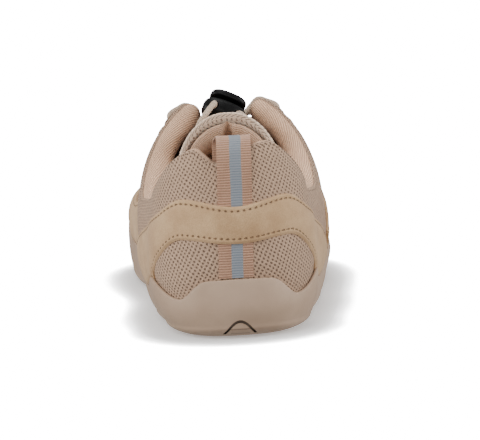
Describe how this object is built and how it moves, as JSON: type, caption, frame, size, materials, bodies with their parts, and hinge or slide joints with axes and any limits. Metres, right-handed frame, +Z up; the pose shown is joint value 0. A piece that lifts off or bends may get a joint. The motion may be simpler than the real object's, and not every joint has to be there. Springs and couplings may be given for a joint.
{
  "type": "outdoor shoe",
  "caption": "Low outdoor shoe for the right foot with a wide toe, mesh upper, suede heel band, padded collar, heel pull loop, cord lock on an elastic lace and a thin rubber cup sole.",
  "frame": {"origin": "on the floor, under the centre of the shoe's box", "axes": "+Z up, +Y towards the toe, +X towards the outer side of the right foot"},
  "size_m": [0.0956, 0.2615, 0.0951],
  "materials": {
    "sole_rubber": "matte moulded",
    "mesh": "thick two-layer mesh",
    "footbed": "brushed",
    "lining": "finely ribbed knit",
    "suede": "fine nap",
    "webbing": "ribbed webbing with a woven stripe",
    "lace": "round elastic cord",
    "lock_plastic": "satin"
  },
  "bodies": {
    "shoe": {"outsole": "sole_rubber", "upper": "mesh", "insole": "footbed", "tongue": "lining", "heel_band": "suede", "toe_guard": "suede", "eyestay": "suede", "pull_loop": "webbing", "lace_crossings": "lace", "lace_ends": "lace", "lock_barrel": "lock_plastic"},
    "button": {"lock_button": "lock_plastic"}
  },
  "joints": [
    {"name": "lock_button", "type": "slide", "parent": "shoe", "child": "button", "axis": [0.3297, 0.6255, 0.7071], "range_m": [-0.0012, 0], "stiffness_N_per_m": 400}
  ]
}
